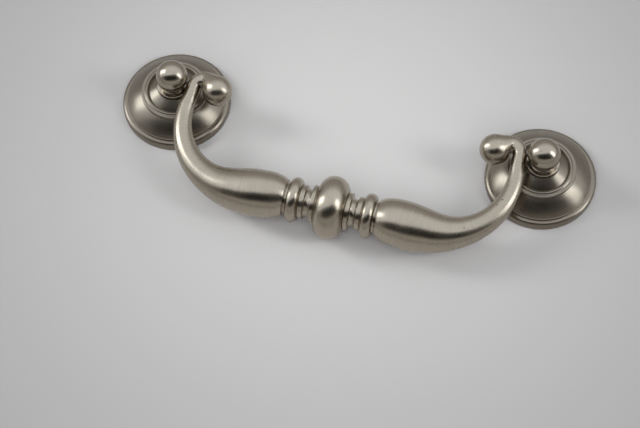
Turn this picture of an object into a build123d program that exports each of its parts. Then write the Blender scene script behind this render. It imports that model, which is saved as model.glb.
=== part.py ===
from build123d import *
import math
import os

os.makedirs("parts", exist_ok=True)

# A bail pull for a drawer front, in millimetres. X runs through the two fixing holes and
# Z stands out of the drawer front. The bail hangs towards -Y with its middle bead on the
# front. The origin lies midway between the fixing holes, on the plane of the backs.

# Fixing holes
hole_spacing = 96.0
thread_core_d = 3.3
thread_depth = 8.0

# Rosette, a turned bell on a rim, hollow behind
rosette_d = 28.0
rim_wall = 1.4
rim_round = 1.0
bell_d = 25.4
step_height = 0.6
step_bevel = 0.15
bell_rise = 2.2
bell_slope = 12.0
shoulder_d = 17.3
shoulder_lip = 1.5
shoulder_bevel = 0.35
land_rise = 0.35
land_width = 2.5
cove_rise = 0.84
cove_slope = 12.0
hub_d = 8.8
hub_bevel = 0.25
back_rim = 1.9
back_wall = 1.8
boss_d = 10.0

# Post, from the shank in the rosette up to its domed head
shank_d = 6.0
shank_clearance = 0.05
groove_d = 7.2
groove_height = 0.45
collar_d = 8.3
collar_height = 0.75
collar_bevel = 0.2
head_seat_d = 6.7
head_d = 7.9
head_length = 3.9
head_swell = 3.1
pivot_in_head = 2.4

# Pivot pin, pressed into the bail and free in the head
pin_d = 1.6
pin_clearance = 0.05
pin_in_head = 4.6
pin_in_bulb = 3.0
pin_end_gap = 0.4
pin_chamfer = 0.2

# Bail, along its centreline from the baluster up to the bulb beside the post. The arm's
# diameters are taken at even steps from the belly's start to the end of the curl.
drop = 24.4
bail_inset = 5.5
bend_radius = 17.5
belly_sag = 0.6
neck_offset = 0.3
curl_width = 4.2
curl_height = 6.7
bulb_d = 7.9
bulb_inset = 12.25
arm_diameters = (9.2, 12.0, 10.4, 7.7, 6.0, 4.9, 4.0, 3.5, 3.5)
belly_shoulder = 2.9
sections_per_diameter = 3

# Baluster, each turning from the middle outwards
bead_width = 7.6
bead_d = 16.0
bead_edge_d = 8.6
ring_width = 1.15
ring_d = 9.5
ring_bevel = 0.25
neck_width = 1.65
neck_waist_d = 6.8
neck_edge_d = 7.6
neck_lean = 0.2
astragal_width = 1.3
astragal_d = 8.5
torus_width = 3.1
torus_d = 11.3
torus_edge_d = 8.7
torus_lean = 0.08
fillet_width = 0.8
fillet_d = 8.1
core_d = 7.2
core_overlap = 1.5

# How far the handles of a quarter of an ellipse reach, as a share of its half axes
quarter_reach = (math.sqrt(2) - 1) * 4 / 3

# Heights that follow from the stack of turnings
rim_top = rim_wall + rim_round
step_top = rim_top + step_height
shoulder_z = step_top + bell_rise
land_z = shoulder_z + shoulder_lip + shoulder_bevel + land_rise
hub_base = land_z + cove_rise
hub_top = hub_base + hub_bevel
collar_z = hub_top + groove_height
head_seat_z = collar_z + collar_height
head_centre_z = head_seat_z + head_length
pivot_z = head_seat_z + pivot_in_head

# The bail hangs from the pivot until its bead meets the drawer front
hang_angle = math.asin((pivot_z - bead_d / 2) / drop)
bail_plane = Plane(
    origin=(0, 0, pivot_z),
    x_dir=(1, 0, 0),
    z_dir=(0, -math.sin(hang_angle), math.cos(hang_angle)),
)
baluster_centre = bail_plane.from_local_coords((0, -drop, 0))
baluster_plane = Plane(origin=baluster_centre, x_dir=(1, 0, 0), z_dir=bail_plane.z_dir)
bulb_x = hole_spacing / 2 - bulb_inset
pin_start = bulb_x + bulb_d / 2 - pin_in_bulb
pin_end = hole_spacing / 2 - head_d / 2 + pin_in_head


def profile_plane(side):
    """The upright plane through one post's axis, with the radius along its x."""
    return Plane(origin=(side * hole_spacing / 2, 0, 0), x_dir=(1, 0, 0), z_dir=(0, -1, 0))


def post_axis(side):
    return Axis((side * hole_spacing / 2, 0, 0), (0, 0, 1))


def slope(degrees):
    """The direction that runs inwards and rises at this angle."""
    return (-math.cos(math.radians(degrees)), math.sin(math.radians(degrees)))


def make_rosette(side):
    rim_r = rosette_d / 2
    bell_r = bell_d / 2
    shoulder_r = shoulder_d / 2
    land_r = shoulder_r - shoulder_bevel - land_width
    hub_r = hub_d / 2
    bore_r = shank_d / 2 + shank_clearance
    recess_z = shoulder_z - back_wall
    with BuildPart() as rosette:
        with BuildSketch(profile_plane(side)):
            with BuildLine():
                Line((rim_r, 0), (rim_r, rim_wall))
                TangentArc((rim_r, rim_wall), (rim_r - rim_round, rim_top), tangent=(0, 1))
                Polyline(
                    (rim_r - rim_round, rim_top),
                    (bell_r, rim_top),
                    (bell_r, step_top - step_bevel),
                    (bell_r - step_bevel, step_top),
                )
                TangentArc(
                    (bell_r - step_bevel, step_top),
                    (shoulder_r, shoulder_z),
                    tangent=slope(bell_slope),
                )
                Polyline(
                    (shoulder_r, shoulder_z),
                    (shoulder_r, shoulder_z + shoulder_lip),
                    (shoulder_r - shoulder_bevel, shoulder_z + shoulder_lip + shoulder_bevel),
                    (land_r, land_z),
                )
                TangentArc((land_r, land_z), (hub_r, hub_base), tangent=slope(cove_slope))
                Polyline(
                    (hub_r, hub_base),
                    (hub_r - hub_bevel, hub_top),
                    (bore_r, hub_top),
                    (bore_r, 0),
                    (boss_d / 2, 0),
                    (boss_d / 2, recess_z),
                    (shoulder_r - back_wall, recess_z),
                    (rim_r - back_rim, step_top - back_wall),
                    (rim_r - back_rim, 0),
                    (rim_r, 0),
                )
            make_face()
        revolve(axis=post_axis(side))
    return rosette.part


def make_post(side):
    shank_r = shank_d / 2
    groove_r = groove_d / 2
    collar_r = collar_d / 2
    head_r = head_d / 2
    core_r = thread_core_d / 2
    with BuildPart() as post:
        with BuildSketch(profile_plane(side)):
            with BuildLine():
                Polyline(
                    (core_r, 0),
                    (shank_r, 0),
                    (shank_r, hub_top),
                    (groove_r, hub_top),
                    (groove_r, collar_z),
                    (collar_r - collar_bevel, collar_z),
                    (collar_r, collar_z + collar_bevel),
                    (collar_r, head_seat_z - collar_bevel),
                    (collar_r - collar_bevel, head_seat_z),
                    (head_seat_d / 2, head_seat_z),
                )
                widest = head_seat_z + head_swell
                TangentArc((head_r, widest), (head_seat_d / 2, head_seat_z), tangent=(0, -1))
                Line((head_r, widest), (head_r, head_centre_z))
                dome = TangentArc(
                    (head_r, head_centre_z), (0, head_centre_z + head_r), tangent=(0, 1)
                )
                Polyline(
                    dome @ 1,
                    (0, thread_depth + core_r / 2),
                    (core_r, thread_depth),
                    (core_r, 0),
                )
            make_face()
        revolve(axis=post_axis(side))
        with BuildSketch(Plane(origin=(0, 0, pivot_z), z_dir=(side, 0, 0))):
            Circle(pin_d / 2 + pin_clearance)
        extrude(amount=pin_end + pin_end_gap, mode=Mode.SUBTRACT)
    return post.part


def make_pin(side):
    with BuildPart() as pin:
        with BuildSketch(Plane(origin=(side * pin_start, 0, pivot_z), z_dir=(side, 0, 0))):
            Circle(pin_d / 2)
        extrude(amount=pin_end - pin_start)
        chamfer(pin.edges().filter_by(GeomType.CIRCLE), length=pin_chamfer)
    return pin.part


def arm_diameter(share):
    """A smooth curve through the arm's diameters, for a share of its length."""
    steps = len(arm_diameters) - 1
    k = min(int(share * steps), steps - 1)
    t = share * steps - k

    def rise(i):
        """The slope of the curve at one of the diameters."""
        if i == 0:
            return belly_shoulder * (arm_diameters[1] - arm_diameters[0])
        last = min(i + 1, steps)
        return (arm_diameters[last] - arm_diameters[i - 1]) / (last - i + 1)

    return (
        (2 * t**3 - 3 * t**2 + 1) * arm_diameters[k]
        + (t**3 - 2 * t**2 + t) * rise(k)
        + (3 * t**2 - 2 * t**3) * arm_diameters[k + 1]
        + (t**3 - t**2) * rise(k + 1)
    )


def moulding(start, end, edge, crown, lean):
    """A round or hollow between two places along the axis. The lean is how far its flanks
    lean in, as a share of its width."""
    handle = edge / 2 + (crown - edge) * 2 / 3
    inset = (end - start) * lean
    return Bezier((start, edge / 2), (start + inset, handle), (end - inset, handle), (end, edge / 2))


# Where each turning of the baluster starts, measured from its middle
ring_start = bead_width / 2
neck_start = ring_start + ring_width
astragal_start = neck_start + neck_width
torus_start = astragal_start + astragal_width
fillet_start = torus_start + torus_width
belly_start = fillet_start + fillet_width

# The bail is one casting: two arms, their bulbs and the baluster between them
with BuildPart() as bail:
    arm_x = hole_spacing / 2 - bail_inset
    bend_x = arm_x - bend_radius
    bend_top = bend_radius - drop - belly_sag
    neck_x = arm_x - neck_offset
    curl_end_x = neck_x - curl_width
    curl_top = (bulb_d - arm_diameters[-1]) / 2
    curl_y = curl_top - curl_height
    with BuildLine(bail_plane) as centreline:
        Bezier(
            (belly_start, -drop),
            ((belly_start + bend_x) / 2, -drop),
            ((belly_start + bend_x) / 2, -drop - belly_sag),
            (bend_x, -drop - belly_sag),
        )
        JernArc((bend_x, -drop - belly_sag), (1, 0), bend_radius, 90)
        Bezier(
            (arm_x, bend_top),
            (arm_x, (bend_top + curl_y) / 2),
            (neck_x, (bend_top + curl_y) / 2),
            (neck_x, curl_y),
        )
        Bezier(
            (neck_x, curl_y),
            (neck_x, curl_y + quarter_reach * curl_height),
            (curl_end_x + quarter_reach * curl_width, curl_top),
            (curl_end_x, curl_top),
        )
        Line((curl_end_x, curl_top), (bulb_x, curl_top))
    route = centreline.wire()
    section_count = sections_per_diameter * (len(arm_diameters) - 1)
    for k in range(section_count + 1):
        share = k / section_count
        section = Plane(origin=route @ share, x_dir=bail_plane.z_dir, z_dir=route % share)
        with BuildSketch(section):
            Circle(arm_diameter(share) / 2)
    loft()
    with Locations(bail_plane.from_local_coords((bulb_x, 0, 0))):
        Sphere(bulb_d / 2)
    mirror(about=Plane.YZ)
    with BuildSketch(baluster_plane):
        with BuildLine():
            ThreePointArc(
                (-ring_start, bead_edge_d / 2), (0, bead_d / 2), (ring_start, bead_edge_d / 2)
            )
            for side in (-1, 1):
                Polyline(
                    (side * ring_start, bead_edge_d / 2),
                    (side * ring_start, ring_d / 2 - ring_bevel),
                    (side * (ring_start + ring_bevel), ring_d / 2),
                    (side * (neck_start - ring_bevel), ring_d / 2),
                    (side * neck_start, ring_d / 2 - ring_bevel),
                    (side * neck_start, neck_edge_d / 2),
                )
                moulding(
                    side * neck_start, side * astragal_start, neck_edge_d, neck_waist_d, neck_lean
                )
                Polyline(
                    (side * astragal_start, neck_edge_d / 2),
                    (side * astragal_start, astragal_d / 2 - ring_bevel),
                    (side * (astragal_start + ring_bevel), astragal_d / 2),
                    (side * (torus_start - ring_bevel), astragal_d / 2),
                    (side * torus_start, astragal_d / 2 - ring_bevel),
                    (side * torus_start, torus_edge_d / 2),
                )
                moulding(
                    side * torus_start, side * fillet_start, torus_edge_d, torus_d, torus_lean
                )
                Polyline(
                    (side * fillet_start, torus_edge_d / 2),
                    (side * fillet_start, fillet_d / 2),
                    (side * belly_start, fillet_d / 2),
                    (side * belly_start, core_d / 2),
                    (side * (belly_start + core_overlap), core_d / 2),
                    (side * (belly_start + core_overlap), 0),
                )
            Line((-belly_start - core_overlap, 0), (belly_start + core_overlap, 0))
        make_face()
    revolve(axis=Axis(baluster_centre, (1, 0, 0)))
    for side in (-1, 1):
        with BuildSketch(Plane(origin=(side * pin_start, 0, pivot_z), z_dir=(side, 0, 0))):
            Circle(pin_d / 2)
        extrude(amount=pin_end - pin_start, mode=Mode.SUBTRACT)
bail.part.label = "bail"
export_step(bail.part, "parts/bail.step")

for side, name in ((-1, "left"), (1, "right")):
    for kind, make in (("rosette", make_rosette), ("post", make_post), ("pivot_pin", make_pin)):
        piece = make(side)
        piece.label = f"{kind}_{name}"
        export_step(piece, f"parts/{piece.label}.step")
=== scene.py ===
"""A drop pull in satin nickel on a pale table: turned rosettes and posts, and a swinging bail."""

import logging
import math
from dataclasses import dataclass, field
from enum import Enum

import bpy
import numpy as np
from bpy.types import Material, Node, NodeSocket, NodeTree, Object, World
from mathutils import Matrix, Vector

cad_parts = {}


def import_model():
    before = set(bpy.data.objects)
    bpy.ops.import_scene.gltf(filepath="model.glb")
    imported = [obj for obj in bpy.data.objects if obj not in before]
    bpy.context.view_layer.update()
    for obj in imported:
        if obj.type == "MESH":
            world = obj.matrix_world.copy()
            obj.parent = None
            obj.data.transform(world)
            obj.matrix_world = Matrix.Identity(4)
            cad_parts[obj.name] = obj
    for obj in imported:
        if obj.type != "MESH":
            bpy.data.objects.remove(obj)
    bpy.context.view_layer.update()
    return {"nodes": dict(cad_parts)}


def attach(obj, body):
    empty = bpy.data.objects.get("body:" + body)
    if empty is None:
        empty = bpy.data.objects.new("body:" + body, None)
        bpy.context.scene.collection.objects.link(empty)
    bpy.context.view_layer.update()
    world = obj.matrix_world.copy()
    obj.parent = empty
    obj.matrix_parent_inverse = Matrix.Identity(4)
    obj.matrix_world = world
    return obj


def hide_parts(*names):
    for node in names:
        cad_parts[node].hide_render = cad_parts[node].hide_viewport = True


MM = 0.001
TINY = 1e-6
NO_CHANGE = 1e-7
DOUBLE_MM = 0.002
LEAST_EDGE_MM = 0.001
HALF_TURN = 0.5
VIEW_AZIMUTH = 18.54
UV_NAME = "turning"
log = logging.getLogger("drop_pull")

Point = tuple[float, float]
Colour = tuple[float, float, float]


class Side(Enum):
    """The two ends of the pull, with the sign of their X."""

    LEFT = -1
    RIGHT = 1


class Slot(Enum):
    """Material slot names for the rosettes, posts and bail; nothing in this script uses them."""

    ROSETTE = "rosette"
    POST = "post"
    BAIL = "bail"


# Outlines and rings


@dataclass
class Outline:
    """A turned outline in millimetres, drawn corner by corner as radius and height."""

    corners: list[tuple[float, float, float]] = field(default_factory=list)

    def to(self, radius: float, height: float, soft: float = 0.0) -> "Outline":
        """Adds a straight run.

        Args:
            radius: The run's end, from the axis.
            height: The run's end, along the axis.
            soft: How far the corner at that end is rounded off.

        Returns:
            The outline itself.
        """
        self.corners.append((radius, height, soft))
        return self

    def arc(self, radius: float, height: float, tangent: Point, steps: int = 14) -> "Outline":
        """Adds an arc that leaves the last corner along a direction.

        Args:
            radius: The arc's end, from the axis.
            height: The arc's end, along the axis.
            tangent: The direction at the arc's start.
            steps: How many runs the arc is drawn with.

        Returns:
            The outline itself.
        """
        start = Vector(self.corners[-1][:2])
        chord = Vector((radius, height)) - start
        along = Vector(tangent).normalized()
        turn = 2 * along.angle_signed(chord)
        if abs(turn) < TINY:
            return self.to(radius, height)
        bend = chord.length / (2 * math.sin(abs(turn) / 2))
        toward = Vector((along.y, -along.x)) * math.copysign(1, turn)
        centre = start + toward * bend
        for k in range(1, steps + 1):
            spoke = Matrix.Rotation(-turn * k / steps, 2) @ (start - centre)
            self.to(centre.x + spoke.x, centre.y + spoke.y)
        return self

    def curve(self, first: Point, second: Point, end: Point, steps: int = 16) -> "Outline":
        """Adds a cubic curve with two handles.

        Args:
            first: The handle of the curve's start.
            second: The handle of the curve's end.
            end: The curve's end.
            steps: How many runs the curve is drawn with.

        Returns:
            The outline itself.
        """
        start = self.corners[-1][:2]
        for k in range(1, steps + 1):
            self.to(*cubic(start, first, second, end, k / steps))
        return self

    def points(self, steps: int = 4) -> list[Point]:
        """Gives the outline with its corners rounded off.

        Args:
            steps: How many runs each rounded corner gets.

        Returns:
            The outline's points in metres.
        """
        traced = []
        for k, (radius, height, soft) in enumerate(self.corners):
            here = Vector((radius, height))
            if soft == 0 or k in (0, len(self.corners) - 1):
                traced.append(here)
                continue
            before = Vector(self.corners[k - 1][:2]) - here
            after = Vector(self.corners[k + 1][:2]) - here
            start = here + before.normalized() * min(soft, before.length * 0.45)
            end = here + after.normalized() * min(soft, after.length * 0.45)
            for j in range(steps + 1):
                t = j / steps
                traced.append(start * (1 - t) ** 2 + here * 2 * t * (1 - t) + end * t**2)
        return [(p.x * MM, p.y * MM) for p in traced]


def cubic(start: Point, first: Point, second: Point, end: Point, t: float) -> Point:
    """Gives a point of a cubic curve.

    Args:
        start: The curve's start.
        first: The handle of the start.
        second: The handle of the end.
        end: The curve's end.
        t: How far along the curve, from 0 to 1.

    Returns:
        The point's two coordinates.
    """
    weights = ((1 - t) ** 3, 3 * t * (1 - t) ** 2, 3 * t**2 * (1 - t), t**3)
    corners = (start, first, second, end)
    return tuple(sum(w * c[i] for w, c in zip(weights, corners)) for i in (0, 1))


def facing(heading: float) -> Vector:
    """Gives the direction of a heading in the bail's plane."""
    return Vector((math.cos(heading), math.sin(heading), 0))


def smooth(share: float) -> float:
    """Eases a share from 0 to 1 in and out."""
    return share**2 * (3 - 2 * share)


def seen_from(azimuth: float, elevation: float) -> Vector:
    """Gives the direction from the pull to an azimuth and an elevation in radians."""
    level = math.cos(elevation)
    return Vector((math.sin(azimuth) * level, -math.cos(azimuth) * level, math.sin(elevation)))


@dataclass(frozen=True)
class Ring:
    """One section of a piece, in metres, with its reach to the side and the length up to it."""

    centre: Vector
    axis: Vector
    radius: float
    side: float
    along: float


# Modelling helpers


def unselect() -> None:
    """Leaves no object selected, in object mode."""
    bpy.ops.object.select_all(action="DESELECT")


def first_vertex(name: str, place: Vector) -> Object:
    """Starts a mesh as a single vertex, and leaves it in edit mode with that vertex selected.

    Args:
        name: The object's name.
        place: Where the vertex lies.

    Returns:
        The object, whose origin is the scene's.
    """
    unselect()
    bpy.ops.mesh.primitive_plane_add(size=MM, location=place)
    obj = bpy.context.object
    obj.name = obj.data.name = name
    bpy.ops.object.transform_apply(location=True, rotation=True, scale=True)
    bpy.ops.object.mode_set(mode="EDIT")
    bpy.ops.mesh.select_all(action="SELECT")
    bpy.ops.mesh.merge(type="CENTER")
    return obj


def extrude_by(step: Vector) -> None:
    """Extrudes what is selected and moves the new part by a step."""
    bpy.ops.mesh.extrude_region_move(TRANSFORM_OT_translate={"value": tuple(step)})


def close_mesh(obj: Object, crease: float = 32.0) -> None:
    """Merges a finished mesh's doubles, turns its faces outward and shades it, in object mode.

    Args:
        obj: The object, in edit mode.
        crease: The angle in degrees above which an edge stays sharp.
    """
    bpy.ops.mesh.select_all(action="SELECT")
    bpy.ops.mesh.remove_doubles(threshold=DOUBLE_MM * MM)
    bpy.ops.mesh.dissolve_degenerate(threshold=LEAST_EDGE_MM * MM)
    bpy.ops.mesh.select_all(action="SELECT")
    bpy.ops.mesh.normals_make_consistent(inside=False)
    bpy.ops.object.mode_set(mode="OBJECT")
    unselect()
    obj.select_set(True)
    bpy.ops.object.shade_smooth_by_angle(angle=math.radians(crease))


def outline_rings(outline: list[Point], centre: Vector, axis: Vector) -> list[Ring]:
    """Lists an outline's sections.

    Args:
        outline: Radius and distance along the axis, in metres.
        centre: Where the axis starts.
        axis: The axis' direction.

    Returns:
        One ring for each point.
    """
    rings, along = [], 0.0
    for k, (radius, height) in enumerate(outline):
        if k:
            along += math.dist(outline[k - 1], outline[k])
        rings.append(Ring(centre + axis * height, axis, radius, radius, along))
    return rings


def unwrap(obj: Object, rings: list[Ring], reference: Vector) -> None:
    """Gives a mesh its own UV map: U runs along the piece in millimetres, V once around it.

    Args:
        obj: The object, whose vertices all lie on rings.
        rings: The rings.
        reference: The direction in which V starts, across every ring's axis.
    """
    mesh = obj.data
    spots = np.empty(len(mesh.vertices) * 3)
    mesh.vertices.foreach_get("co", spots)
    spots = spots.reshape(-1, 3)
    miss = np.full(len(spots), np.inf)
    length = np.zeros(len(spots))
    angle = np.zeros(len(spots))
    for ring in rings:
        offset = spots - np.array(ring.centre)
        height = offset @ np.array(ring.axis)
        across = offset @ np.array(ring.axis.cross(reference)) / max(ring.radius, TINY)
        level = offset @ np.array(reference) / max(ring.side, TINY)
        gap = np.abs(height) + np.abs(np.hypot(across, level) - 1) * ring.radius
        closer = gap < miss
        turn = np.arctan2(across, level) / math.tau
        miss[closer] = gap[closer]
        length[closer] = ring.along / MM
        angle[closer] = turn[closer] % 1.0
    layer = mesh.uv_layers.new(name=UV_NAME)
    for face in mesh.polygons:
        around = [angle[mesh.loops[k].vertex_index] for k in face.loop_indices]
        wraps = max(around) - min(around) > HALF_TURN
        for k, turn in zip(face.loop_indices, around):
            shift = 1.0 if wraps and turn < HALF_TURN else 0.0
            layer.data[k].uv = (length[mesh.loops[k].vertex_index], turn + shift)


def turned_piece(node: str, outline: list[Point], x: float, steps: int, finish: Material) -> Object:
    """Turns a piece that stands upright, unwraps it and gives it its finish.

    Args:
        node: The solid that it dresses.
        outline: Radius and height of its section, in metres.
        x: Where its axis stands.
        steps: How many steps the turn has.
        finish: Its material.

    Returns:
        The piece.
    """
    places = [Vector((x + radius, 0, height)) for radius, height in outline]
    obj = first_vertex(f"turned_{node}", places[0])
    for before, after in zip(places, places[1:]):
        extrude_by(after - before)
    bpy.ops.mesh.select_all(action="SELECT")
    bpy.ops.mesh.spin(steps=steps, angle=math.tau, center=(x, 0, 0), axis=(0, 0, 1))
    close_mesh(obj)
    rings = outline_rings(outline, Vector((x, 0, 0)), Vector((0, 0, 1)))
    unwrap(obj, rings, Vector((1, 0, 0)))
    obj.data.materials.append(finish)
    return obj


# Materials


class Graph:
    """Adds nodes to one tree and links them."""

    def __init__(self, tree: NodeTree) -> None:
        """Keeps the tree."""
        self.tree = tree

    def add(self, kind: str, **settings: object) -> Node:
        """Adds a node.

        Args:
            kind: The node's type, without its ShaderNode prefix.
            **settings: The node's properties.

        Returns:
            The node.
        """
        prefix = "" if kind.startswith("NodeGroup") else "ShaderNode"
        node = self.tree.nodes.new(prefix + kind)
        for key, value in settings.items():
            setattr(node, key, value)
        return node

    def feed(self, socket: NodeSocket, value: object) -> None:
        """Links an output to an input, or sets the input's constant.

        Args:
            socket: The input.
            value: An output socket, a number or a tuple.
        """
        if isinstance(value, NodeSocket):
            self.tree.links.new(value, socket)
        else:
            socket.default_value = value

    def fill(self, node: Node, values: dict[str, object]) -> None:
        """Feeds several of a node's inputs by their names."""
        for name, value in values.items():
            self.feed(node.inputs[name], value)

    def math(self, operation: str, *values: object, clamp: bool = False) -> NodeSocket:
        """Adds a Math node.

        Args:
            operation: The node's operation.
            *values: Its inputs, as outputs of other nodes or numbers.
            clamp: Whether the result stays from 0 to 1.

        Returns:
            The node's output.
        """
        node = self.add("Math", operation=operation, use_clamp=clamp)
        for socket, value in zip(node.inputs, values):
            self.feed(socket, value)
        return node.outputs[0]

    def plus(self, first: object, second: object, clamp: bool = False) -> NodeSocket:
        """Adds two values."""
        return self.math("ADD", first, second, clamp=clamp)

    def times(self, first: object, second: object) -> NodeSocket:
        """Multiplies two values."""
        return self.math("MULTIPLY", first, second)

    def ramp(
        self, value: object, low: float, high: float, start: float = 0.0, end: float = 1.0
    ) -> NodeSocket:
        """Adds a smooth step between two values.

        Args:
            value: What is stepped.
            low: Where the step starts.
            high: Where the step ends.
            start: The result below the step.
            end: The result above the step.

        Returns:
            The step's output.
        """
        node = self.add("MapRange", interpolation_type="SMOOTHSTEP", clamp=True)
        for socket, part in zip(node.inputs, (value, low, high, start, end)):
            self.feed(socket, part)
        return node.outputs[0]

    def noise(self, vector: object, scale: float, detail: float, rough: float = 0.5) -> NodeSocket:
        """Adds a Noise texture.

        Args:
            vector: Its coordinates.
            scale: Its scale.
            detail: How many octaves it has.
            rough: How strong the finer octaves are.

        Returns:
            Its value from 0 to 1.
        """
        node = self.add("TexNoise")
        values = {"Vector": vector, "Scale": scale, "Detail": detail, "Roughness": rough}
        self.fill(node, values)
        return node.outputs[0]

    def distance(self, first: object, second: object) -> NodeSocket:
        """Measures how far two places are apart."""
        node = self.add("VectorMath", operation="DISTANCE")
        for socket, value in zip(node.inputs, (first, second)):
            self.feed(socket, value)
        return node.outputs["Value"]

    def mix(self, share: object, first: object, second: object) -> NodeSocket:
        """Mixes two colours.

        Args:
            share: How much of the second colour there is.
            first: The first colour, as an output or a tuple.
            second: The second colour, likewise.

        Returns:
            The mixed colour.
        """
        node = self.add("Mix", data_type="RGBA")
        for k, value in zip((0, 6, 7), (share, first, second)):
            self.feed(node.inputs[k], (*value, 1.0) if isinstance(value, tuple) else value)
        return node.outputs[2]

    def join(self, x: object, y: object, z: object) -> NodeSocket:
        """Combines three values into a vector."""
        node = self.add("CombineXYZ")
        for socket, value in zip(node.inputs, (x, y, z)):
            self.feed(socket, value)
        return node.outputs[0]


@dataclass
class Effects:
    """The node groups that the finishes share, with the scales and steps of their grain."""

    fine_lines: float = 4.0
    fine_scale: float = 1.7
    smudge_scale: float = 160.0
    smudge_step: Point = (0.35, 0.68)
    speck_scale: float = 420.0
    speck_step: Point = (0.05, 0.11)
    rare_scale: float = 300.0
    rare_step: Point = (0.64, 0.7)
    ragged_scale: float = 5000.0

    def __post_init__(self) -> None:
        """Makes each group once."""
        self.brushing = self._brushing()
        self.handling = self._handling()
        self.nick = self._nick()

    @staticmethod
    def _group(
        name: str, inputs: dict[str, object], outputs: tuple[str, ...]
    ) -> tuple[NodeTree, Graph, Node, Node]:
        """Starts a node group.

        Args:
            name: The group's name.
            inputs: Its inputs with their default values.
            outputs: Its outputs.

        Returns:
            The group, its graph, its input node and its output node.
        """
        tree = bpy.data.node_groups.new(name, "ShaderNodeTree")
        for key, value in inputs.items():
            kind = "NodeSocketFloat" if isinstance(value, float) else "NodeSocketVector"
            socket = tree.interface.new_socket(key, in_out="INPUT", socket_type=kind)
            socket.default_value = value
        for key in outputs:
            tree.interface.new_socket(key, in_out="OUTPUT", socket_type="NodeSocketFloat")
        graph = Graph(tree)
        return tree, graph, graph.add("NodeGroupInput"), graph.add("NodeGroupOutput")

    def _brushing(self) -> NodeTree:
        """Makes fine lines that run around a piece, from its own UV map.

        Returns:
            The group, with a broad and a fine value from 0 to 1.
        """
        inputs = {"Lines": 3.0, "Length": 0.8}
        tree, graph, given, result = self._group("brushing", inputs, ("Broad", "Fine"))
        place = graph.add("UVMap", uv_map=UV_NAME)
        parts = graph.add("SeparateXYZ")
        graph.feed(parts.inputs[0], place.outputs[0])
        angle = graph.times(parts.outputs[1], math.tau)
        across = graph.times(graph.math("COSINE", angle), given.outputs["Length"])
        along = graph.times(graph.math("SINE", angle), given.outputs["Length"])
        line = graph.times(parts.outputs[0], given.outputs["Lines"])
        broad = graph.noise(graph.join(line, across, along), 1.0, 3.0)
        finer = graph.times(line, self.fine_lines)
        fine = graph.noise(graph.join(finer, across, along), self.fine_scale, 4.0, 0.7)
        graph.fill(result, {"Broad": broad, "Fine": fine})
        return tree

    def _handling(self) -> NodeTree:
        """Makes soft cloudy smudges and sparse specks, from Object coordinates.

        Returns:
            The group, with the smudges and the specks from 0 to 1.
        """
        tree, graph, _, result = self._group("handling", {}, ("Smudge", "Speck"))
        place = graph.add("TexCoord").outputs["Object"]
        smudge = graph.ramp(graph.noise(place, self.smudge_scale, 4.0, 0.55), *self.smudge_step)
        specks = graph.add("TexVoronoi", feature="F1")
        graph.fill(specks, {"Vector": place, "Scale": self.speck_scale})
        rare = graph.ramp(graph.noise(place, self.rare_scale, 1.0), *self.rare_step)
        dot = graph.ramp(specks.outputs["Distance"], *self.speck_step, 1.0, 0.0)
        graph.fill(result, {"Smudge": smudge, "Speck": graph.times(dot, rare)})
        return tree

    def _nick(self) -> NodeTree:
        """Makes one small pit at a place.

        Returns:
            The group, with the pit's mask from 0 to 1.
        """
        inputs = {"Place": (0.0, 0.0, 0.0), "Radius": 0.0002}
        tree, graph, given, result = self._group("nick", inputs, ("Mask",))
        place = graph.add("TexCoord").outputs["Object"]
        gap = graph.distance(place, given.outputs["Place"])
        ragged = graph.noise(place, self.ragged_scale, 2.0)
        reach = graph.times(given.outputs["Radius"], graph.plus(ragged, 0.5))
        share = graph.math("DIVIDE", gap, reach)
        graph.feed(result.inputs["Mask"], graph.ramp(share, 0.5, 1.0, 1.0, 0.0))
        return tree


def new_material(name: str) -> tuple[Material, Graph, Node]:
    """Starts a material.

    Args:
        name: Its name.

    Returns:
        The material, its graph and its shader.
    """
    material = bpy.data.materials.new(name)
    material.use_nodes = True
    return material, Graph(material.node_tree), material.node_tree.nodes["Principled BSDF"]


@dataclass(frozen=True)
class Nick:
    """A small pit in a piece, in millimetres."""

    place: tuple[float, float, float]
    radius: float


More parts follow.
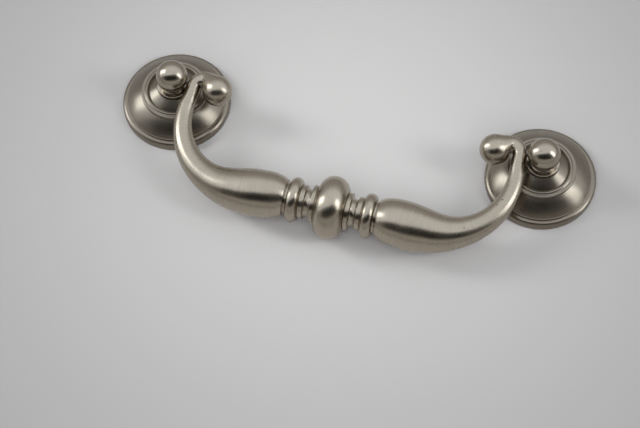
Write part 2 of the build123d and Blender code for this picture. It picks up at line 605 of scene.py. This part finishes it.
@dataclass(frozen=True)
class NickelFinish:
    """Satin nickel: how it is brushed, how rough it is, and where it has pits."""

    name: str
    bright: Colour
    dull: Colour
    roughness: float
    spread: float
    anisotropy: float
    depth: float
    nicks: tuple[Nick, ...] = ()
    lines: float = 3.0
    broad_tone: float = 0.6
    fine_tone: float = 0.4
    tone_step: Point = (0.3, 0.7)
    smudge_tone: float = 0.25
    pit_tone: float = 0.8
    pit_colour: Colour = (0.06, 0.05, 0.045)
    smudge_rough: float = 0.04
    pit_rough: float = 0.3
    fine_height: float = 0.5
    pit_height: float = 4.0

    def make(self, effects: Effects) -> Material:
        """Builds the material.

        Args:
            effects: The shared node groups.

        Returns:
            The material.
        """
        material, graph, shader = new_material(self.name)
        brushing = graph.add("Group", node_tree=effects.brushing)
        graph.fill(brushing, {"Lines": self.lines})
        broad, fine = brushing.outputs["Broad"], brushing.outputs["Fine"]
        handling = graph.add("Group", node_tree=effects.handling)
        smudge, pits = handling.outputs["Smudge"], handling.outputs["Speck"]
        for spot in self.nicks:
            nick = graph.add("Group", node_tree=effects.nick)
            place = tuple(v * MM for v in spot.place)
            graph.fill(nick, {"Place": place, "Radius": spot.radius * MM})
            pits = graph.math("MAXIMUM", pits, nick.outputs["Mask"])
        streak = graph.plus(graph.times(broad, self.broad_tone), graph.times(fine, self.fine_tone))
        tone = graph.mix(graph.ramp(streak, *self.tone_step), self.dull, self.bright)
        tone = graph.mix(graph.times(smudge, self.smudge_tone), tone, self.dull)
        tone = graph.mix(graph.times(pits, self.pit_tone), tone, self.pit_colour)
        rough = graph.times(graph.math("SUBTRACT", fine, 0.5), self.spread)
        rough = graph.plus(rough, self.roughness)
        rough = graph.plus(rough, graph.times(smudge, self.smudge_rough))
        rough = graph.plus(rough, graph.times(pits, self.pit_rough), clamp=True)
        lines = graph.plus(broad, graph.times(fine, self.fine_height))
        height = graph.math("SUBTRACT", lines, graph.times(pits, self.pit_height))
        bump = graph.add("Bump")
        graph.fill(bump, {"Strength": 1.0, "Distance": self.depth * MM, "Height": height})
        tangent = graph.add("Tangent", direction_type="UV_MAP", uv_map=UV_NAME)
        graph.fill(shader, {"Base Color": tone, "Roughness": rough, "Metallic": 1.0})
        graph.fill(shader, {"Normal": bump.outputs[0], "Tangent": tangent.outputs[0]})
        graph.fill(shader, {"Anisotropic": self.anisotropy})
        return material


@dataclass(frozen=True)
class PlainSteelFinish:
    """Drawn steel for the pins, with fine lines along their length."""

    name: str
    tint: Colour
    roughness: float
    dark: float = 0.7
    duller: float = 0.15
    stretch: tuple[float, float, float] = (300.0, 9000.0, 9000.0)

    def make(self) -> Material:
        """Builds the material.

        Returns:
            The material.
        """
        material, graph, shader = new_material(self.name)
        place = graph.add("Mapping")
        spot = graph.add("TexCoord").outputs["Object"]
        graph.fill(place, {"Vector": spot, "Scale": self.stretch})
        streak = graph.noise(place.outputs[0], 1.0, 3.0)
        tone = graph.mix(streak, tuple(self.dark * c for c in self.tint), self.tint)
        rough = graph.ramp(streak, 0.2, 0.8, self.roughness, self.roughness + self.duller)
        graph.fill(shader, {"Base Color": tone, "Roughness": rough, "Metallic": 1.0})
        return material


# The pull's pieces


@dataclass(frozen=True)
class Rosette:
    """A turned bell on a rim, hollow behind, with a boss round the post's bore."""

    spacing: float = 96.0
    outer_d: float = 28.0
    rim_wall: float = 1.4
    rim_round: float = 1.0
    bell_d: float = 25.4
    step_height: float = 0.6
    bell_rise: float = 3.3
    bell_slope: float = 50.0
    shoulder_d: float = 17.3
    shoulder_lip: float = 0.4
    shoulder_bevel: float = 0.35
    line_d: float = 14.5
    line_width: float = 0.5
    line_height: float = 0.2
    sink: float = 0.3
    hub_z: float = 8.37
    cove_slope: float = 37.0
    hub_d: float = 8.8
    hub_height: float = 0.12
    bore_d: float = 6.1
    boss_d: float = 10.0
    boss_edge: float = 0.2
    boss_fillet: float = 0.5
    wall: float = 1.8
    wall_fillet: float = 0.6
    recess_z: float = 3.4
    back_rim: float = 1.9
    back_edge: float = 0.1
    step_flat: float = 0.15
    edge: float = 0.14
    steps: int = 144

    def outline(self) -> list[Point]:
        """Draws the rosette's section, up the outside and down the bore.

        Returns:
            The closed outline in metres.
        """
        rim_r, bell_r, shoulder_r, hub_r, line_r = (
            d / 2 for d in (self.outer_d, self.bell_d, self.shoulder_d, self.hub_d, self.line_d)
        )
        rim_top = self.rim_wall + self.rim_round
        step_top = rim_top + self.step_height
        shoulder_z = step_top + self.bell_rise
        lip_top = shoulder_z + self.shoulder_lip + self.shoulder_bevel
        line_z = lip_top + self.line_height
        hub_top = self.hub_z + self.hub_height
        slope, cove = math.radians(self.bell_slope), math.radians(self.cove_slope)
        back_r, recess_r, foot = rim_r - self.back_rim, shoulder_r - self.wall, self.back_edge
        shape = Outline().to(rim_r - foot, 0.0).to(rim_r, foot, foot / 2)
        shape.to(rim_r, self.rim_wall).arc(rim_r - self.rim_round, rim_top, (0, 1), 10)
        shape.to(bell_r, rim_top, self.edge / 2).to(bell_r, step_top, self.edge)
        shape.to(bell_r - self.step_flat, step_top)
        shape.arc(shoulder_r, shoulder_z, (-math.cos(slope), math.sin(slope)), 26)
        shape.to(shoulder_r, lip_top, self.shoulder_bevel)
        shape.to(line_r + self.line_width, lip_top - self.edge / 2, self.edge)
        shape.to(line_r + self.line_width / 2, line_z, self.edge)
        shape.to(line_r - self.line_width / 2, line_z, self.edge)
        shape.to(line_r - self.line_width, lip_top - self.sink)
        shape.arc(hub_r, self.hub_z, (-math.cos(cove), math.sin(cove)), 22)
        shape.to(hub_r - self.hub_height, hub_top, self.edge)
        shape.to(self.bore_d / 2, hub_top, foot).to(self.bore_d / 2, 0.0, foot)
        shape.to(self.boss_d / 2, 0.0, self.boss_edge)
        shape.to(self.boss_d / 2, self.recess_z, self.boss_fillet)
        shape.to(recess_r, self.recess_z, self.wall_fillet)
        shape.to(back_r, step_top - self.wall, self.boss_fillet).to(back_r, 0.0, foot)
        shape.to(rim_r - foot, 0.0)
        return shape.points()

    def build(self, side: Side, finish: Material) -> Object:
        """Turns and dresses one rosette.

        Args:
            side: Which end it belongs to.
            finish: Its material.

        Returns:
            The rosette.
        """
        name = f"rosette_{side.name.lower()}"
        x = side.value * self.spacing / 2 * MM
        obj = turned_piece(name, self.outline(), x, self.steps, finish)
        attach(obj, "mount")
        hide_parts(name)
        return obj


@dataclass(frozen=True)
class Post:
    """A turned post: shank, groove, collar and domed head, tapped from behind."""

    spacing: float = 96.0
    shank_d: float = 6.0
    shank_z: float = 0.0
    core_d: float = 3.3
    core_depth: float = 8.0
    groove_d: float = 7.2
    groove_z: float = 8.49
    collar_z: float = 8.94
    collar_d: float = 8.3
    collar_height: float = 0.75
    seat_d: float = 5.9
    head_d: float = 8.15
    head_top: float = 17.54
    foot_turn: float = 16.0
    foot_fillet: Point = (0.1, 0.05)
    foot_flare: Point = (0.3, 0.9)
    head_handle: float = 0.5
    mouth_edge: float = 0.35
    shank_edge: float = 0.15
    inner_edge: float = 0.08
    edge: float = 0.18
    steps: int = 128

    def outline(self) -> list[Point]:
        """Draws the post's section, from its tapped end over the head.

        Returns:
            The outline in metres, from the axis to the axis.
        """
        shank_r, core_r, groove_r = self.shank_d / 2, self.core_d / 2, self.groove_d / 2
        collar_r, seat_r, head_r = self.collar_d / 2, self.seat_d / 2, self.head_d / 2
        seat_z = self.collar_z + self.collar_height
        centre = self.head_top - head_r
        core_top = self.shank_z + self.core_depth
        shape = Outline().to(0.0, core_top + core_r / 2).to(core_r, core_top)
        shape.to(core_r, self.shank_z, self.mouth_edge).to(shank_r, self.shank_z, self.shank_edge)
        shape.to(shank_r, self.groove_z).to(groove_r, self.groove_z).to(groove_r, self.collar_z)
        shape.to(collar_r, self.collar_z, self.edge).to(collar_r, seat_z, self.edge)
        shape.to(seat_r + self.foot_fillet[0], seat_z, self.inner_edge)
        shape.to(seat_r, seat_z + self.foot_fillet[1])
        turn = math.radians(self.foot_turn)
        tangent = Vector((math.sin(turn), math.cos(turn)))
        joint = Vector((head_r * math.cos(turn), centre - head_r * math.sin(turn)))
        flare = (seat_r + self.foot_flare[0], seat_z + self.foot_flare[1])
        shape.curve(flare, tuple(joint - tangent * self.head_handle), tuple(joint), 8)
        shape.arc(0.0, self.head_top, tuple(tangent), 36)
        return shape.points()

    def build(self, side: Side, finish: Material) -> Object:
        """Turns and dresses one post.

        Args:
            side: Which end it belongs to.
            finish: Its material.

        Returns:
            The post.
        """
        name = f"post_{side.name.lower()}"
        x = side.value * self.spacing / 2 * MM
        obj = turned_piece(name, self.outline(), x, self.steps, finish)
        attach(obj, "mount")
        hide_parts(name)
        return obj


@dataclass(frozen=True)
class Bail:
    """The swinging bail, drawn flat about its pivot line and then hung at its angle."""

    spacing: float = 96.0
    pivot_z: float = 12.09
    drop: float = 24.4
    inset: float = 5.5
    bend_radius: float = 17.5
    belly_sag: float = 0.6
    neck_offset: float = 0.3
    curl_width: float = 4.2
    curl_height: float = 3.8
    curl_top: float = 2.25
    curl_square: float = 2.5
    bulb_d: float = 7.85
    bulb_inset: float = 12.05
    bulb_low: float = 0.65
    back_fill: float = 0.3
    crease_turn: float = 158.0
    corner_swell: float = 0.25
    belly_start: float = 11.8
    diameters: tuple[float, ...] = (9.2, 12.0, 10.4, 7.7, 6.0, 4.9, 4.0, 3.5, 3.5)
    shoulder: float = 2.9
    bead_width: float = 7.6
    bead_d: float = 16.0
    bead_edge_d: float = 8.6
    ring_width: float = 1.15
    ring_d: float = 9.5
    neck_width: float = 1.65
    neck_edge_d: float = 7.6
    neck_waist_d: float = 6.8
    astragal_width: float = 1.3
    astragal_d: float = 8.5
    groove: float = 0.12
    torus_width: float = 3.1
    torus_d: float = 11.3
    torus_edge_d: float = 8.7
    fillet_width: float = 0.8
    fillet_d: float = 8.1
    fillet_shares: Point = (0.6, 0.7)
    arm_seat_d: float = 7.8
    arm_gap: float = 0.02
    neck_lean: float = 0.2
    torus_lean: float = 0.08
    inner_edge: float = 0.08
    fillet_edge: float = 0.1
    fine_edge: float = 0.05
    tip_share: float = 0.995
    edge: float = 0.22
    samples: int = 60
    around: int = 96
    arm_steps: int = 150
    fan_steps: int = 28
    bulb_steps: int = 20

    @property
    def hang(self) -> float:
        """The angle at which the bead meets the drawer front."""
        return math.asin((self.pivot_z - self.bead_d / 2) / self.drop)

    def moulding(self, shape: Outline, width: float, crown: float, edge: float, lean: float) -> None:
        """Adds a round or hollow to the baluster's outline.

        Args:
            shape: The outline, which ends where the moulding starts.
            width: The moulding's width along the axis.
            crown: Its diameter in the middle.
            edge: Its diameter at both ends.
            lean: How far its flanks lean in, as a share of its width.
        """
        start = shape.corners[-1][1]
        handle = edge / 2 + (crown - edge) * 2 / 3
        first = (handle, start + width * lean)
        second = (handle, start + width * (1 - lean))
        shape.curve(first, second, (edge / 2, start + width), 18)

    def baluster(self) -> list[Point]:
        """Draws the baluster's outline from its middle outward.

        Returns:
            Radius and distance from the middle, in metres.
        """
        half = self.bead_width / 2
        shape = Outline().to(self.bead_d / 2, 0.0).arc(self.bead_edge_d / 2, half, (0, 1), 22)
        shape.to(self.ring_d / 2, half, self.edge)
        along = half + self.ring_width
        shape.to(self.ring_d / 2, along, self.edge).to(self.neck_edge_d / 2, along, self.inner_edge)
        self.moulding(shape, self.neck_width, self.neck_waist_d, self.neck_edge_d, self.neck_lean)
        along += self.neck_width
        shape.to(self.astragal_d / 2, along, self.edge)
        along += self.astragal_width
        shape.to(self.astragal_d / 2, along - self.groove, self.groove)
        shape.to(self.torus_edge_d / 2 - 2 * self.groove, along, self.groove / 4)
        shape.to(self.torus_edge_d / 2, along)
        self.moulding(shape, self.torus_width, self.torus_d, self.torus_edge_d, self.torus_lean)
        along += self.torus_width
        first, second = (along + self.fillet_width * share for share in self.fillet_shares)
        end = along + self.fillet_width
        fillet_r, seat_r = self.fillet_d / 2, self.arm_seat_d / 2
        shape.to(fillet_r, along, self.inner_edge).to(fillet_r, first, self.fillet_edge)
        shape.to(seat_r, second, self.fine_edge).to(seat_r, end, self.fine_edge)
        shape.to(self.diameters[0] / 2, end + self.arm_gap)
        return shape.points()

    def route(self) -> list[tuple[Vector, float]]:
        """Draws the arm's centreline, from the belly to the end of the curl.

        Returns:
            Evenly spaced places in millimetres, each with its heading.
        """
        start_x, start_y = self.belly_start, -self.drop
        arm_x = self.spacing / 2 - self.inset
        bend_x = arm_x - self.bend_radius
        bend_top = self.bend_radius - self.drop - self.belly_sag
        neck_x = arm_x - self.neck_offset
        curl_end = neck_x - self.curl_width
        curl_y = self.curl_top - self.curl_height
        low = -self.drop - self.belly_sag
        middle_x, middle_y = (start_x + bend_x) / 2, (bend_top + curl_y) / 2
        belly = ((start_x, start_y), (middle_x, start_y), (middle_x, low), (bend_x, low))
        neck = ((arm_x, bend_top), (arm_x, middle_y), (neck_x, middle_y), (neck_x, curl_y))
        shares = [k / self.samples for k in range(self.samples)]
        turns = [math.pi / 2 * k / (2 * self.samples) for k in range(2 * self.samples + 1)]
        line = [cubic(*belly, share) for share in shares]
        for turn in turns[:-1]:
            across, up = math.sin(turn), 1 - math.cos(turn)
            line.append((bend_x + self.bend_radius * across, low + self.bend_radius * up))
        line += [cubic(*neck, share) for share in shares]
        power = 2 / self.curl_square
        for turn in turns:
            across, up = math.cos(turn) ** power, math.sin(turn) ** power
            line.append((curl_end + self.curl_width * across, curl_y + self.curl_height * up))
        line.append((self.spacing / 2 - self.bulb_inset, self.curl_top))
        spots = np.array(line)
        reach = np.concatenate(([0.0], np.cumsum(np.linalg.norm(np.diff(spots, axis=0), axis=1))))
        even = np.linspace(0.0, reach[-1], self.arm_steps + 1)
        xs, ys = (np.interp(even, reach, spots[:, i]) for i in (0, 1))
        headings = np.unwrap(np.arctan2(np.gradient(ys), np.gradient(xs)))
        return [(Vector((x, y, 0)), float(h)) for x, y, h in zip(xs, ys, headings)]

    def diameter(self, share: float) -> float:
        """Gives the arm's diameter.

        Args:
            share: How far along the arm, from 0 to 1.

        Returns:
            The diameter in millimetres.
        """
        steps = len(self.diameters) - 1
        k = min(int(share * steps), steps - 1)
        t = share * steps - k

        def rise(i: int) -> float:
            """The curve's slope at one of the diameters."""
            if i == 0:
                return self.shoulder * (self.diameters[1] - self.diameters[0])
            last = min(i + 1, steps)
            return (self.diameters[last] - self.diameters[i - 1]) / (last - i + 1)

        return (
            (2 * t**3 - 3 * t**2 + 1) * self.diameters[k]
            + (t**3 - 2 * t**2 + t) * rise(k)
            + (3 * t**2 - 2 * t**3) * self.diameters[k + 1]
            + (t**3 - t**2) * rise(k + 1)
        )

    def rings(self) -> list[Ring]:
        """Lists the right half's sections, from the middle of the bead to the bulb's tip.

        Returns:
            The rings, flat in the bail's own plane, in metres.
        """
        sideways = Vector((1, 0, 0))
        rings = outline_rings(self.baluster(), Vector((0, -self.drop * MM, 0)), sideways)
        route = self.route()
        along = rings[-1].along
        stride = (route[1][0] - route[0][0]).length * MM
        upright, crease = math.pi / 2, math.radians(self.crease_turn)
        last = next(k for k, (_, heading) in enumerate(route) if heading > crease)
        for k, (place, heading) in enumerate(route[1:last], 1):
            radius = self.diameter(k / self.arm_steps) / 2 * MM
            share = min(max((heading - upright) / (crease - upright), 0.0), 1.0)
            extra = radius * self.corner_swell * smooth(share)
            centre = place * MM + facing(heading + upright) * extra
            rings.append(Ring(centre, facing(heading), radius + extra, radius, along + k * stride))
        return rings + self.bulb(rings[-1])

    def bulb(self, neck: Ring) -> list[Ring]:
        """Lists the bulb's sections, which fan out from the crease under the curl.

        Args:
            neck: The curl's last section.

        Returns:
            The rings up to the tip.
        """
        centre = Vector((self.spacing / 2 - self.bulb_inset, -self.bulb_low, 0)) * MM
        radius = self.bulb_d / 2 * MM
        outward = Vector((neck.axis.y, -neck.axis.x, 0)) * neck.radius
        top, crease = neck.centre + outward, neck.centre - outward - centre
        crown = centre + Vector((0, radius, 0))
        handle = (top - crown).length / 3
        leave, arrive = top + neck.axis * handle, crown + Vector((handle, 0, 0))
        first = math.atan2(crease.y, crease.x)
        spans = []
        for k in range(1, self.fan_steps + 1):
            share = k / self.fan_steps
            turn = first - (first + math.pi / 2) * share
            reach = crease.length + (radius - crease.length) * share**self.back_fill
            place = Vector((*cubic(top, leave, arrive, crown, share), 0))
            side = neck.side + (radius - neck.side) * smooth(share)
            spans.append((place, centre + facing(turn) * reach, side))
        for k in range(1, self.bulb_steps + 1):
            turn = math.pi / 2 * (1 + self.tip_share * math.sin(math.pi / 2 * k / self.bulb_steps))
            spot = facing(turn) * radius
            below = Vector((spot.x, -spot.y, 0))
            spans.append((centre + spot, centre + below, radius * math.sin(turn)))
        rings, along = [], neck.along
        for place, low, side in spans:
            chord = place - low
            along += (place - top).length
            top = place
            axis = Vector((-chord.y, chord.x, 0)).normalized()
            rings.append(Ring((place + low) / 2, axis, chord.length / 2, side, along))
        return rings

    def build(self, finish: Material) -> Object:
        """Walks a ring of edges through all sections, mirrors the half and hangs it.

        Args:
            finish: The bail's material.

        Returns:
            The bail.
        """
        rings = self.rings()
        unselect()
        bpy.ops.mesh.primitive_circle_add(
            vertices=self.around,
            radius=rings[0].radius,
            location=rings[0].centre,
            rotation=(0, math.pi / 2, 0),
        )
        obj = bpy.context.object
        obj.name = obj.data.name = "cast_bail"
        bpy.ops.object.transform_apply(location=True, rotation=True, scale=True)
        bpy.ops.object.mode_set(mode="EDIT")
        bpy.ops.mesh.select_all(action="SELECT")
        for before, after in zip(rings, rings[1:]):
            extrude_by(after.centre - before.centre)
            turn = before.axis.xy.angle_signed(after.axis.xy)
            spot = tuple(after.centre)
            if abs(turn) > NO_CHANGE:
                bpy.ops.transform.rotate(value=turn, orient_axis="Z", center_override=spot)
            scale, side = after.radius / before.radius, after.side / before.side
            if max(abs(scale - 1), abs(side - 1)) > NO_CHANGE:
                bpy.ops.transform.resize(value=(scale, scale, side), center_override=spot)
        bpy.ops.mesh.merge(type="COLLAPSE")
        bpy.ops.object.mode_set(mode="OBJECT")
        mirror = obj.modifiers.new("mirror", "MIRROR")
        mirror.merge_threshold = LEAST_EDGE_MM * MM
        bpy.ops.object.modifier_apply(modifier=mirror.name)
        bpy.ops.object.mode_set(mode="EDIT")
        close_mesh(obj)
        flipped = []
        for ring in rings:
            centre = Vector((-ring.centre.x, ring.centre.y, 0))
            axis = Vector((ring.axis.x, -ring.axis.y, 0))
            flipped.append(Ring(centre, axis, ring.radius, ring.side, -ring.along))
        unwrap(obj, rings + flipped, Vector((0, 0, 1)))
        obj.rotation_euler = (self.hang, 0, 0)
        obj.location = (0, 0, self.pivot_z * MM)
        bpy.ops.object.transform_apply(location=True, rotation=True, scale=True)
        obj.data.materials.append(finish)
        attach(obj, "bail")
        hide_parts("bail")
        return obj


@dataclass(frozen=True)
class Pins:
    """The two pivot pins, which keep their solids and get a finish."""

    names: tuple[str, ...] = ("pivot_pin_left", "pivot_pin_right")

    def dress(self, nodes: dict[str, Object], finish: Material) -> list[Object]:
        """Gives the pins their material.

        Args:
            nodes: The CAD nodes by name.
            finish: The pins' material.

        Returns:
            The pins.
        """
        pins = [nodes[name] for name in self.names]
        for pin in pins:
            for place in pin.material_slots:
                place.material = finish
        return pins


# The studio


@dataclass(frozen=True)
class Softbox:
    """A large soft light, seen from the pull at an azimuth and an elevation in degrees."""

    name: str
    azimuth: float
    elevation: float
    width: float
    height: float
    power: float
    mirrored: bool = True
    distance: float = 0.9
    colour: Colour = (0.94, 1.0, 1.06)

    def place(self) -> Object:
        """Hangs the light and aims it at the pull.

        Returns:
            The light.
        """
        spot = seen_from(math.radians(self.azimuth), math.radians(self.elevation))
        data = bpy.data.lights.new(self.name, "AREA")
        data.shape = "RECTANGLE"
        data.size, data.size_y = self.width, self.height
        data.energy = self.power
        data.color = self.colour
        light = bpy.data.objects.new(self.name, data)
        light.visible_glossy = self.mirrored
        light.location = spot * self.distance
        light.rotation_euler = spot.to_track_quat("Z", "Y").to_euler()
        bpy.context.scene.collection.objects.link(light)
        return light


@dataclass(frozen=True)
class Table:
    """The pale table top, with a painted pool of light round the pull that darkens to painted shade
    further off.
    """

    size: float = 4.0
    # A painted pool of light round the middle fades out to the far colour, which is painted shade.
    middle: tuple[float, float, float] = (-0.005, 0.001, 0.0)
    light_pool_fade: float = 0.1
    pale: Colour = (0.287, 0.268, 0.252)
    palest: Colour = (0.297, 0.277, 0.261)
    far: Colour = (0.095, 0.09, 0.085)
    cloud_scale: float = 6.0
    roughness: float = 0.7
    shine: float = 0.2

    def place(self) -> Object:
        """Lays the table top under the pull.

        Returns:
            The table top.
        """
        unselect()
        bpy.ops.mesh.primitive_plane_add(size=self.size, location=(0, 0, 0))
        top = bpy.context.object
        top.name = top.data.name = "table_top"
        material, graph, shader = new_material("pale_table")
        spot = graph.add("TexCoord").outputs["Object"]
        cloud = graph.noise(spot, self.cloud_scale, 2.0)
        near = graph.mix(cloud, self.pale, self.palest)
        # Painted pool of light: the near colour at the pull fades to the painted shade colour with
        # distance.
        reach = graph.distance(spot, self.middle)
        light_pool_fade = graph.math("POWER", graph.math("DIVIDE", reach, self.light_pool_fade), 2.0)
        share = graph.math("DIVIDE", 1.0, graph.plus(light_pool_fade, 1.0))
        tone = graph.mix(share, self.far, near)
        graph.fill(shader, {"Base Color": tone, "Roughness": self.roughness})
        graph.fill(shader, {"Specular IOR Level": self.shine})
        top.data.materials.append(material)
        return top


@dataclass(frozen=True)
class Room:
    """The room that the metal mirrors, in bands by their angle over the near horizon."""

    walls: tuple[Colour, Colour] = ((0.24, 0.235, 0.23), (0.3, 0.3, 0.3))
    wall_step: Point = (0.6, 0.95)
    low: Colour = (0.5, 0.49, 0.475)
    low_band: tuple[float, float, float] = (-20.0, 22.0, 0.95)
    dark: Colour = (0.018, 0.017, 0.016)
    dark_band: tuple[float, float, float] = (26.0, 64.0, 0.78)
    ceiling: tuple[Colour, Colour] = ((1.05, 1.12, 1.2), (0.46, 0.45, 0.45))
    ceiling_start: Point = (65.0, 70.0)
    ceiling_fade: Point = (118.0, 158.0)
    soft_arc: float = 5.0
    soft_side: float = 0.12

    def paint(self) -> World:
        """Paints the room: a dark band behind the camera, and pale bands under and over it.

        Returns:
            The world.
        """
        world = bpy.data.worlds.new("room")
        bpy.context.scene.world = world
        world.use_nodes = True
        graph = Graph(world.node_tree)
        parts = graph.add("SeparateXYZ")
        graph.feed(parts.inputs[0], graph.add("TexCoord").outputs["Generated"])
        x, y, z = parts.outputs
        sine, cosine = math.sin(math.radians(VIEW_AZIMUTH)), math.cos(math.radians(VIEW_AZIMUTH))
        near = graph.plus(graph.times(x, sine), graph.times(y, -cosine))
        across = graph.plus(graph.times(x, cosine), graph.times(y, sine))
        arc = graph.times(graph.math("ARCTAN2", z, near), 180 / math.pi)
        side = graph.math("ABSOLUTE", across)
        tone = graph.mix(graph.ramp(side, *self.wall_step), *self.walls)
        for band, colour in ((self.low_band, self.low), (self.dark_band, self.dark)):
            tone = graph.mix(self.band(graph, arc, side, band), tone, colour)
        ceiling = graph.mix(graph.ramp(arc, *self.ceiling_fade), *self.ceiling)
        tone = graph.mix(graph.ramp(arc, *self.ceiling_start), tone, ceiling)
        graph.fill(world.node_tree.nodes["Background"], {"Color": tone, "Strength": 1.0})
        return world

    def band(
        self, graph: Graph, arc: object, side: object, limits: tuple[float, float, float]
    ) -> NodeSocket:
        """Masks a band of the room.

        Args:
            graph: The world's graph.
            arc: The angle over the near horizon, in degrees.
            side: How far a direction points sideways, from 0 to 1.
            limits: The band's lower and upper angle, and how far it reaches sideways.

        Returns:
            The mask.
        """
        low, high, half = limits
        below = graph.ramp(arc, low - self.soft_arc, low + self.soft_arc)
        above = graph.ramp(arc, high - self.soft_arc, high + self.soft_arc, 1.0, 0.0)
        inside = graph.ramp(side, half - self.soft_side, half + self.soft_side, 1.0, 0.0)
        return graph.times(graph.times(below, above), inside)


@dataclass(frozen=True)
class Studio:
    """The table, the room and the lights; the fills show in no reflection."""

    table: Table = Table()
    room: Room = Room()
    boxes: tuple[Softbox, ...] = (
        Softbox("softbox_left", -91.0, 28.0, 0.3, 0.6, 1.9),
        Softbox("softbox_right", 91.0, 28.0, 0.3, 0.6, 1.9),
        Softbox("fill_left", -91.0, 34.0, 0.2, 0.3, 5.4, mirrored=False),
        Softbox("fill_right", 85.0, 40.0, 0.2, 0.3, 3.6, mirrored=False),
        Softbox("fill_front", 10.0, 55.0, 0.9, 0.6, 9.5, mirrored=False),
    )

    def build(self) -> None:
        """Sets up the table, the room and the lights."""
        self.table.place()
        self.room.paint()
        for box in self.boxes:
            box.place()


@dataclass(frozen=True)
class PhotoCamera:
    """The camera where the photograph was taken, in degrees and millimetres."""

    azimuth: float = VIEW_AZIMUTH
    elevation: float = 62.89
    roll: float = -4.24
    distance: float = 433.0
    lens: float = 96.8
    sensor: float = 36.0
    target: tuple[float, float, float] = (-3.6, -22.5, 0.0)

    def place(self) -> Object:
        """Sets up the scene's camera.

        Returns:
            The camera.
        """
        roll = math.radians(self.roll)
        back = seen_from(math.radians(self.azimuth), math.radians(self.elevation))
        level = Vector((0, 0, 1)).cross(back).normalized()
        upright = back.cross(level)
        right = level * math.cos(roll) + upright * math.sin(roll)
        up = upright * math.cos(roll) - level * math.sin(roll)
        data = bpy.data.cameras.new("photo_camera")
        data.lens, data.sensor_width = self.lens, self.sensor
        camera = bpy.data.objects.new("photo_camera", data)
        turn = Matrix((right, up, back)).transposed().to_4x4()
        turn.translation = (Vector(self.target) + back * self.distance) * MM
        camera.matrix_world = turn
        bpy.context.scene.collection.objects.link(camera)
        bpy.context.scene.camera = camera
        return camera


ROSETTE_FINISH = NickelFinish(
    name="satin_rosette",
    bright=(0.27, 0.234, 0.187),
    dull=(0.22, 0.19, 0.15),
    roughness=0.27,
    spread=0.08,
    anisotropy=0.4,
    depth=0.002,
)
POST_FINISH = NickelFinish(
    name="satin_post",
    bright=(0.42, 0.368, 0.296),
    dull=(0.36, 0.314, 0.252),
    roughness=0.2,
    spread=0.05,
    anisotropy=0.2,
    depth=0.0008,
    nicks=(Nick((47.2, -1.4, 17.1), 0.22), Nick((48.6, -1.9, 16.9), 0.16)),
)
BAIL_FINISH = NickelFinish(
    name="satin_bail",
    bright=(0.43, 0.375, 0.3),
    dull=(0.37, 0.322, 0.256),
    roughness=0.25,
    spread=0.07,
    anisotropy=0.4,
    depth=0.0014,
    nicks=(
        Nick((40.6, -14.0, 12.2), 0.3),
        Nick((39.6, -15.6, 12.0), 0.25),
        Nick((38.5, -17.4, 11.6), 0.3),
    ),
)
PIN_FINISH = PlainSteelFinish("drawn_pin", (0.3, 0.28, 0.25), 0.35)


def report(obj: Object) -> None:
    """Logs a finished piece with its size."""
    size = ", ".join(f"{v / MM:.2f}" for v in obj.dimensions)
    log.info("%s: %d faces, %s mm", obj.name, len(obj.data.polygons), size)


def main(frame: dict) -> None:
    """Builds the pull's visible pieces and the studio round it.
    """
    effects = Effects()
    rosette_finish = ROSETTE_FINISH.make(effects)
    post_finish = POST_FINISH.make(effects)
    for side in Side:
        report(Rosette().build(side, rosette_finish))
        report(Post().build(side, post_finish))
    report(Bail().build(BAIL_FINISH.make(effects)))
    for pin in Pins().dress(frame["nodes"], PIN_FINISH.make()):
        report(pin)
    Studio().build()
    PhotoCamera().place()
    bpy.context.scene.view_settings.view_transform = "Standard"


if __name__ == "__main__":
    logging.basicConfig(level=logging.INFO, format="%(name)s: %(message)s")
    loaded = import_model()
    main(loaded)
